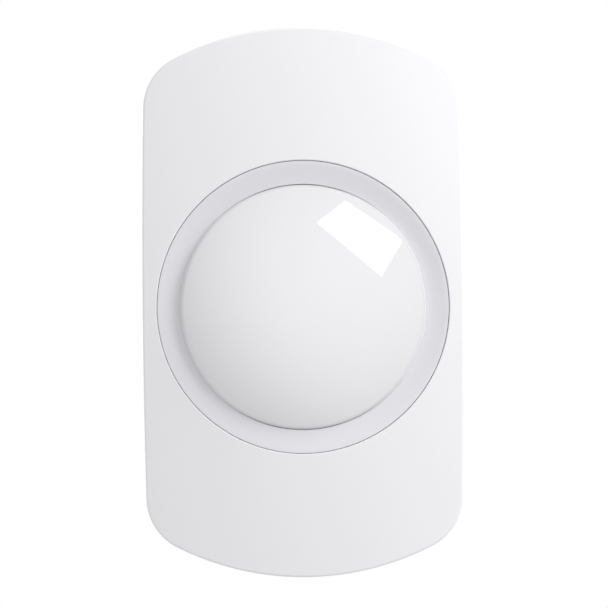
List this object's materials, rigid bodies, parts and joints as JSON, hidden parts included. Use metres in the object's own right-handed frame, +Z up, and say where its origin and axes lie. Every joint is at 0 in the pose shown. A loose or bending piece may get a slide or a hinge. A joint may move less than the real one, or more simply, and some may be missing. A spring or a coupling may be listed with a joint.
{
  "type": "motion sensor",
  "caption": "Wall-mounted passive infrared motion sensor: arched white housing with a domed lens in a dished round bezel, and a cover that swings open on its top edge.",
  "frame": {"origin": "centre of the flat back face, which lies on the wall", "axes": "+Z up along the height of the housing, +Y into the wall, so the lens faces -Y, and +X to the right of someone who faces the sensor"},
  "size_m": [0.0636, 0.0405, 0.109],
  "materials": {
    "cover_plastic": "fine satin moulded ABS, cool white",
    "housing_plastic": "fine satin moulded ABS, cool white",
    "bezel_plastic": "smooth satin moulded ABS",
    "lens_plastic": "glossy milky polyethylene, opaque to the eye and clear to infrared",
    "inner_plastic": "satin moulded ABS",
    "seal_rubber": "soft closed-cell foam rubber",
    "grommet_rubber": "matt moulded rubber",
    "board_laminate": "green solder mask over glass laminate",
    "screw_steel": "bright zinc plate",
    "clip_steel": "phosphated spring steel",
    "can_steel": "nickel-plated pressed steel",
    "gold_contacts": "thin gold plate",
    "brass_contacts": "tinned brass",
    "sensor_ceramic": "unglazed ceramic",
    "infrared_window": "polished dark silicon filter",
    "led_glass": "clear diffused epoxy",
    "terminal_plastic": "moulded nylon, green",
    "relay_plastic": "moulded thermoplastic, off-white",
    "chip_plastic": "black moulding compound",
    "capacitor_aluminium": "drawn aluminium can",
    "chip_ceramic": "tan ceramic with tinned ends",
    "dip_plastic": "red moulded thermoplastic",
    "slider_plastic": "white moulded thermoplastic",
    "trimmer_plastic": "blue moulded thermoplastic",
    "switch_plastic": "black moulded thermoplastic"
  },
  "bodies": {
    "base": {"rear_base": "housing_plastic", "cable_grommet": "grommet_rubber", "circuit_board": "board_laminate", "board_screws": "screw_steel", "sensor_header": "gold_contacts", "sensor_elements": "sensor_ceramic", "sensor_can": "can_steel", "sensor_window": "infrared_window", "sensor_hood": "inner_plastic", "status_led": "led_glass", "terminal_block": "terminal_plastic", "terminal_screws": "screw_steel", "terminal_clamps": "brass_contacts", "alarm_relays": "relay_plastic", "microcontroller": "chip_plastic", "amplifier_chip": "chip_plastic", "voltage_regulator": "chip_plastic", "crystal": "can_steel", "electrolytic_capacitors": "capacitor_aluminium", "chip_components": "chip_ceramic", "dip_switch": "dip_plastic", "trimmer_body": "trimmer_plastic", "tamper_switch": "switch_plastic", "tamper_spring": "screw_steel"},
    "cover": {"front_cover": "cover_plastic", "lens_bezel": "bezel_plastic", "lens_dome": "lens_plastic", "lens_seal": "seal_rubber", "lens_retainer": "inner_plastic", "retainer_screws": "screw_steel"},
    "clip": {"screw_clip": "clip_steel"},
    "screw": {"cover_screw": "screw_steel"},
    "dip_1": {"dip_slider_1": "slider_plastic"},
    "dip_2": {"dip_slider_2": "slider_plastic"},
    "dip_3": {"dip_slider_3": "slider_plastic"},
    "dip_4": {"dip_slider_4": "slider_plastic"},
    "range_dial": {"trimmer_rotor": "slider_plastic"},
    "tamper_button": {"tamper_plunger": "slider_plastic"}
  },
  "joints": [
    {"name": "cover_swing", "type": "hinge", "parent": "base", "child": "cover", "pos_m": [0, -0.012, 0.0545], "axis": [-1, 0, 0], "range_deg": [0, 45]},
    {"name": "screw_lift", "type": "slide", "parent": "cover", "child": "clip", "axis": [0, 0, -1], "range_m": [0, 0.0015]},
    {"name": "screw_turn", "type": "hinge", "parent": "clip", "child": "screw", "pos_m": [0, -0.0084, -0.0522], "axis": [0, 0, -1], "range_deg": [0, 1080]},
    {"name": "dip_1_slide", "type": "slide", "parent": "base", "child": "dip_1", "axis": [1, 0, 0], "range_m": [0, 0.0019]},
    {"name": "dip_2_slide", "type": "slide", "parent": "base", "child": "dip_2", "axis": [-1, 0, 0], "range_m": [0, 0.0019]},
    {"name": "dip_3_slide", "type": "slide", "parent": "base", "child": "dip_3", "axis": [1, 0, 0], "range_m": [0, 0.0019]},
    {"name": "dip_4_slide", "type": "slide", "parent": "base", "child": "dip_4", "axis": [-1, 0, 0], "range_m": [0, 0.0019]},
    {"name": "range_dial_turn", "type": "hinge", "parent": "base", "child": "range_dial", "pos_m": [0.014, -0.0156, -0.033], "axis": [0, -1, 0], "range_deg": [-135, 135]},
    {"name": "tamper_press", "type": "slide", "parent": "base", "child": "tamper_button", "axis": [0, -1, 0], "range_m": [0, 0.001], "stiffness_N_per_m": 50, "springref_m": 0.005, "deforming": ["tamper_spring"]}
  ],
  "couplings": [
    {"joint": "screw_turn", "follows": "screw_lift", "rad_per_m": 12566},
    {"joint": "tamper_press", "follows": "cover_swing", "m_per_rad": 0.00127}
  ]
}
